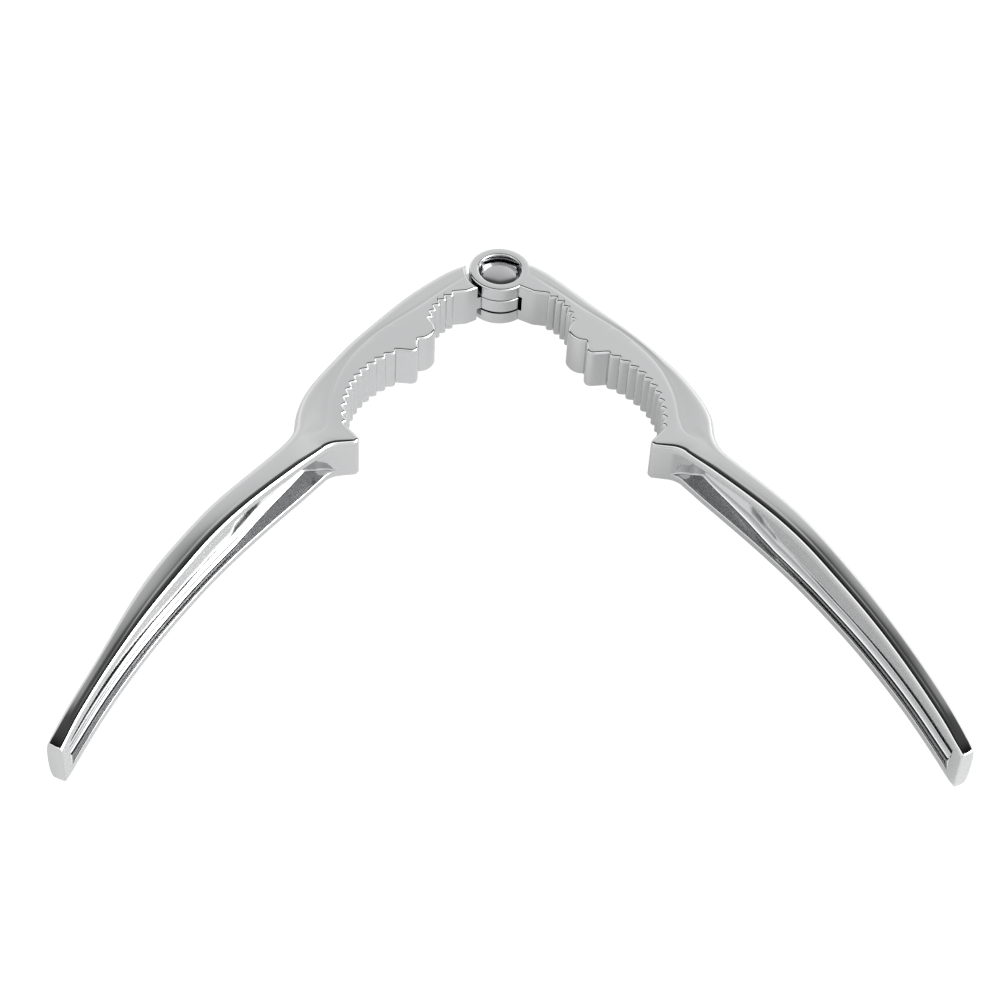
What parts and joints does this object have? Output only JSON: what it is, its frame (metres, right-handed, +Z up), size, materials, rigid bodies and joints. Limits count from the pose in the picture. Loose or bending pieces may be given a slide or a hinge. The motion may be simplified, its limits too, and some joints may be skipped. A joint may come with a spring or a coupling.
{
  "type": "nutcracker",
  "caption": "Polished metal lever nutcracker, hinged at one end, with a small and a large serrated nut hollow between its jaws and long hollow-sided handles.",
  "frame": {"origin": "on the supporting surface, under the middle of the open nutcracker's bounding box", "axes": "+Z up along the hinge rivet, with the tool lying flat; handle tips towards -Y; +X towards the fork lever's handle tip, across the open handles"},
  "size_m": [0.1912, 0.1586, 0.016],
  "materials": {
    "lever_plate": "polished",
    "rivet_steel": "polished"
  },
  "bodies": {
    "fork_side": {"right_lever": "lever_plate", "hinge_rivet": "rivet_steel", "rivet_washer": "rivet_steel"},
    "tongue_side": {"left_lever": "lever_plate"}
  },
  "joints": [
    {"name": "hinge", "type": "hinge", "parent": "fork_side", "child": "tongue_side", "pos_m": [-0.0093, 0.07184, 0.008], "axis": [0, 0, 1], "range_deg": [-135, 60]}
  ]
}
